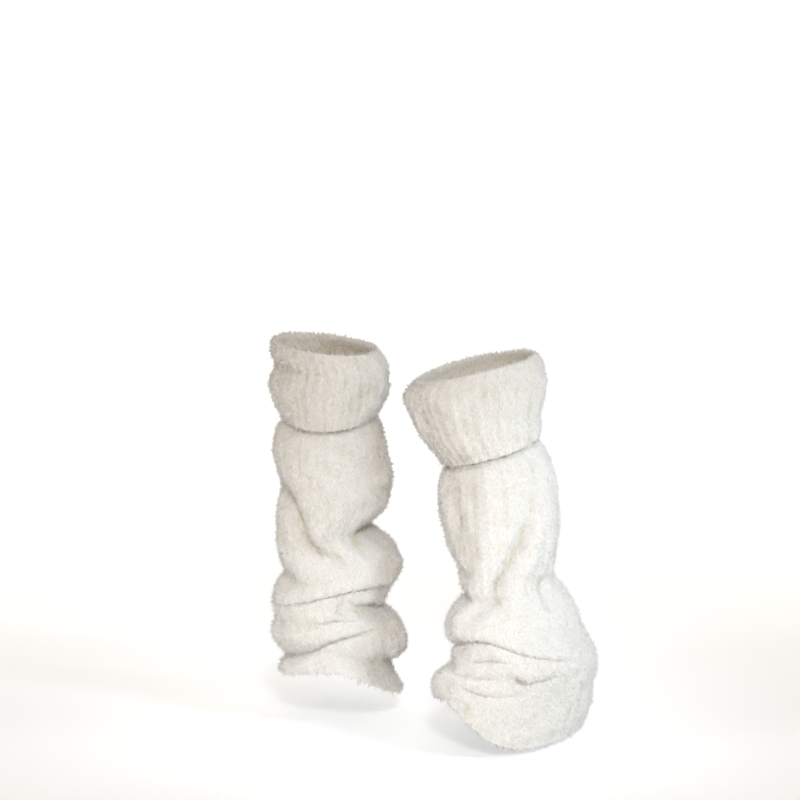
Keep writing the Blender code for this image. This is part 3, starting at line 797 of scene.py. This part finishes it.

# %% [markdown]
# ## The cut
# Each leg warmer is one knitted tube. Laid flat and cut open, the tube is about half a metre round,
# and the worn length is gathered out of it. Folds and ribs hide length.

# %% [markdown]
# ## Floor and surround
# Such plush is often shown in a pale studio. The floor is a sheet of white paper. It is given a
# painted glow, which is stronger behind the cloth, so it stays white to the edge of the picture and
# throws some light up onto the cloth, though no lamp stands under it. The room round it is warm
# white, brighter behind the cloth and warmer in front. A photographed surround would give the same
# light, but it could not be changed by a number.

# %% Floor
FLOOR_REACH = 30                      # metres to each side
GLOW_NEAR, GLOW_FAR = 0.32, 0.70      # the paper's painted glow, in front of the cloth and behind it
GLOW_FROM, GLOW_TO = 0.0, 1.2         # metres behind the cloth, between which the glow grows
PAPER_DARK, PAPER_LIGHT, PAPER_PAINTED_GLOW = "#F1F3F5", "#F4F6F8", "#F4FAFF"
PAPER_CLOUDS = 40                     # clouds in the paper for each metre
corners = ((-1, -1), (1, -1), (1, 1), (-1, 1))
floor_mesh = bpy.data.meshes.new("floor")
floor_mesh.from_pydata([(FLOOR_REACH * x, FLOOR_REACH * y, FLOOR_HEIGHT) for x, y in corners],
                       [], [(0, 1, 2, 3)])
floor = link("floor", floor_mesh)
paper, tree = bare_material("studio_paper_with_painted_glow")
paper_grain = add(tree, "ShaderNodeTexNoise", Scale=PAPER_CLOUDS, Detail=2)
paper_ramp = add(tree, "ShaderNodeValToRGB", [("Fac", paper_grain.outputs["Fac"])])
for stop, colour in zip(paper_ramp.color_ramp.elements, (PAPER_DARK, PAPER_LIGHT)):
    stop.color = linear(colour)
split = add(tree, "ShaderNodeSeparateXYZ",
            [("Vector", add(tree, "ShaderNodeTexCoord").outputs["Object"])])
glow = add(tree, "ShaderNodeMapRange", [("Value", split.outputs["Y"])],
           From_Min=GLOW_FROM, From_Max=GLOW_TO, To_Min=GLOW_NEAR, To_Max=GLOW_FAR)
# painted light: the paper emits light of its own, though it is no lamp
paper_shader = add(tree, "ShaderNodeBsdfPrincipled",
                   [("Base Color", paper_ramp.outputs["Color"]),
                    ("Emission Strength", glow.outputs["Result"])],
                   Roughness=0.9, Emission_Color=linear(PAPER_PAINTED_GLOW))
add(tree, "ShaderNodeOutputMaterial", [("Surface", paper_shader.outputs["BSDF"])])
floor_mesh.materials.append(paper)
print("floor at", FLOOR_HEIGHT, "m, of", paper.name)

# %% Surround
SURROUND_COLOUR, SURROUND_STRENGTH = "#FFF0DE", 0.50
Wall = namedtuple("Wall", "name towards colour strength")
WALLS = (
    Wall("white wall behind",  (0, 0.978, 0.208),  "#FFFFFF", 0.9),
    Wall("warm room in front", (0, -0.978, 0.208), "#FFE2C8", 0.25),
)
WALL_SPREAD = 4            # power of the cosine, so a wall fades out towards its sides

world = bpy.data.worlds.new("studio")
world.use_nodes = True
bpy.context.scene.world = world
tree = world.node_tree
tree.nodes.clear()
heading = add(tree, "ShaderNodeTexCoord").outputs["Generated"]
lit = add(tree, "ShaderNodeBackground", Color=linear(SURROUND_COLOUR),
          Strength=SURROUND_STRENGTH).outputs["Background"]
for wall in WALLS:
    facing = add(tree, "ShaderNodeVectorMath", [(0, heading)], operation="DOT_PRODUCT")
    facing.inputs[1].default_value = wall.towards
    strength = facing.outputs["Value"]
    for operation, number in (("MAXIMUM", 0), ("POWER", WALL_SPREAD), ("MULTIPLY", wall.strength)):
        step = add(tree, "ShaderNodeMath", [(0, strength)], operation=operation)
        step.inputs[1].default_value = number
        strength = step.outputs["Value"]
    shine = add(tree, "ShaderNodeBackground", [("Strength", strength)], Color=linear(wall.colour))
    lit = add(tree, "ShaderNodeAddShader",
              [(0, lit), (1, shine.outputs["Background"])]).outputs["Shader"]
    print(wall.name, wall.strength)
add(tree, "ShaderNodeOutputWorld", [("Surface", lit)])

# %% [markdown]
# ## Lamps
# Four soft lamps model the folds. A cool key stands high at the viewer's right, and a second lamp
# straight in front. A fill from the left lifts the shade there. The last one is low at the right, where
# the left leg warmer keeps it off the right one, so only the left one brightens towards that side.
# Area lamps would be as soft, but spots fall off round the point that they are aimed at.

# %% Lamps
Lamp = namedtuple("Lamp", "name azimuth elevation aim_height cone colour power")
LAMPS = (
    Lamp("key_lamp",    60, 40, -0.40, 22, "#D0E9FF", 70),
    Lamp("front_lamp",   5, 40, -0.38, 22, "#F4F8FF", 84),
    Lamp("fill_lamp",  -70, 15, -0.42, 22, "#F2F9FF", 52),
    Lamp("side_lamp",   78, 12, -0.25, 26, "#E4F3FF", 50),
)
LAMP_DISTANCE, LAMP_RADIUS = 2.5, 0.25
PAIR_MIDDLE = (0.10, -0.05)      # metres, the point of the floor that the lamps turn round
for lamp in LAMPS:
    turn, rise = math.radians(lamp.azimuth), math.radians(lamp.elevation)
    towards = Vector((math.sin(turn) * math.cos(rise), -math.cos(turn) * math.cos(rise), math.sin(rise)))
    light = bpy.data.lights.new(lamp.name, "SPOT")
    light.spot_size, light.spot_blend = math.radians(lamp.cone), 1
    light.shadow_soft_size, light.energy, light.color = LAMP_RADIUS, lamp.power, linear(lamp.colour)[:3]
    stand = bpy.data.objects.new(lamp.name, light)
    stand.location = Vector((*PAIR_MIDDLE, lamp.aim_height)) + towards * LAMP_DISTANCE
    stand.rotation_euler = towards.to_track_quat("Z", "Y").to_euler()
    bpy.context.scene.collection.objects.link(stand)
    print(lamp.name, lamp.power, "W")

bpy.context.scene.view_settings.view_transform = "Standard"
